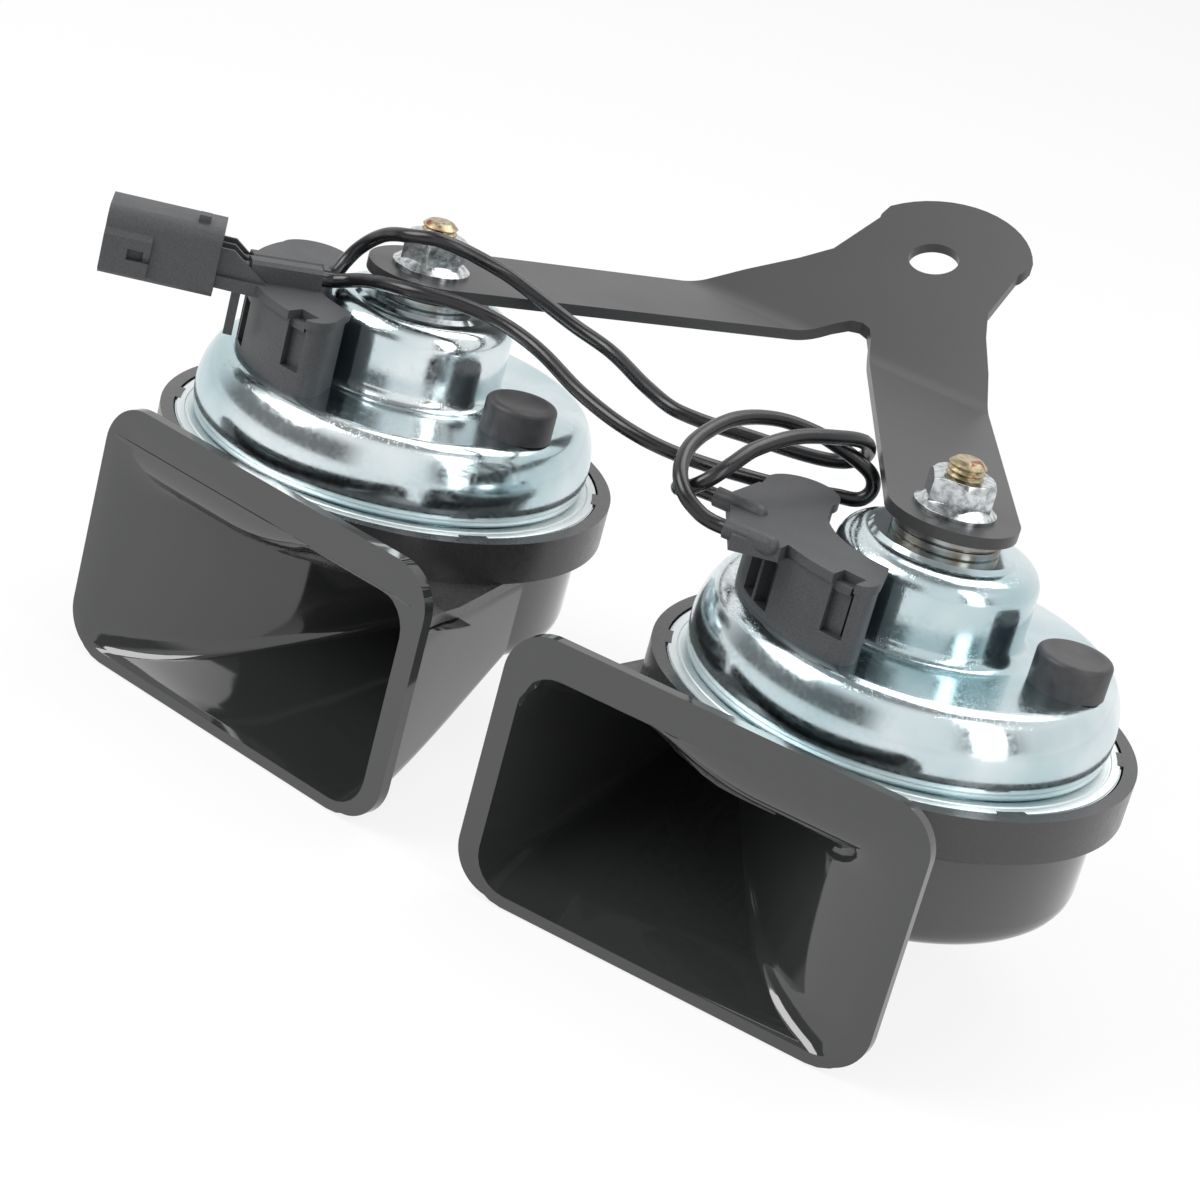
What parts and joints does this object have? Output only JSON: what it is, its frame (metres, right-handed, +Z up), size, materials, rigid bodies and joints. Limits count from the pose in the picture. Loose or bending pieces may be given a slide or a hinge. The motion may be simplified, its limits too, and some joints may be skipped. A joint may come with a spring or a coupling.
{
  "type": "snail horn",
  "caption": "Two-tone pair of electric snail horns with rectangular trumpet mouths on one V-shaped sheet bracket, wired to one two-pin connector.",
  "frame": {"origin": "middle of the hub hole of the bracket, where the pair is bolted to the vehicle", "axes": "+X runs from the low horn to the high horn, +Y from the mouths to the hub, +Z up along the horn axes, from the trumpets to the nuts"},
  "size_m": [0.2446, 0.1859, 0.1261],
  "materials": {
    "bracket": "satin",
    "trumpet": "gloss",
    "trumpet_lid": "satin gloss",
    "steel": "satin",
    "spring_steel": "satin",
    "bobbin": "matte",
    "copper": "enamelled",
    "stud": "yellow passivated",
    "insulator": "matte",
    "terminal": "bright",
    "zinc_cover": "bright zinc plated",
    "screw": "bright",
    "cap": "satin",
    "plug": "matte",
    "connector": "matte",
    "washer": "dull",
    "nut": "bright zinc plated",
    "wire": "glossy sheath"
  },
  "bodies": {
    "root": {"bracket": "bracket", "low_trumpet_shell": "trumpet", "low_trumpet_lid": "trumpet_lid", "low_base_ring": "steel", "low_diaphragm": "spring_steel", "low_armature": "steel", "low_bobbin": "bobbin", "low_coil": "copper", "low_core_stud": "stud", "low_contact_block": "insulator", "low_contact_blades": "terminal", "low_cover": "zinc_cover", "low_adjuster_screw": "screw", "low_adjuster_cap": "cap", "low_terminal_block": "insulator", "low_terminal_blades": "terminal", "low_plug": "plug", "low_washers": "washer", "low_nut": "nut", "high_trumpet_shell": "trumpet", "high_trumpet_lid": "trumpet_lid", "high_base_ring": "steel", "high_diaphragm": "spring_steel", "high_armature": "steel", "high_bobbin": "bobbin", "high_coil": "copper", "high_core_stud": "stud", "high_contact_block": "insulator", "high_contact_blades": "terminal", "high_cover": "zinc_cover", "high_adjuster_screw": "screw", "high_adjuster_cap": "cap", "high_terminal_block": "insulator", "high_terminal_blades": "terminal", "high_plug": "plug", "high_washers": "washer", "high_nut": "nut", "connector": "connector", "connector_pins": "terminal", "lead_front": "wire", "lead_back": "wire", "wire_front": "wire", "wire_back": "wire"}
  },
  "joints": []
}
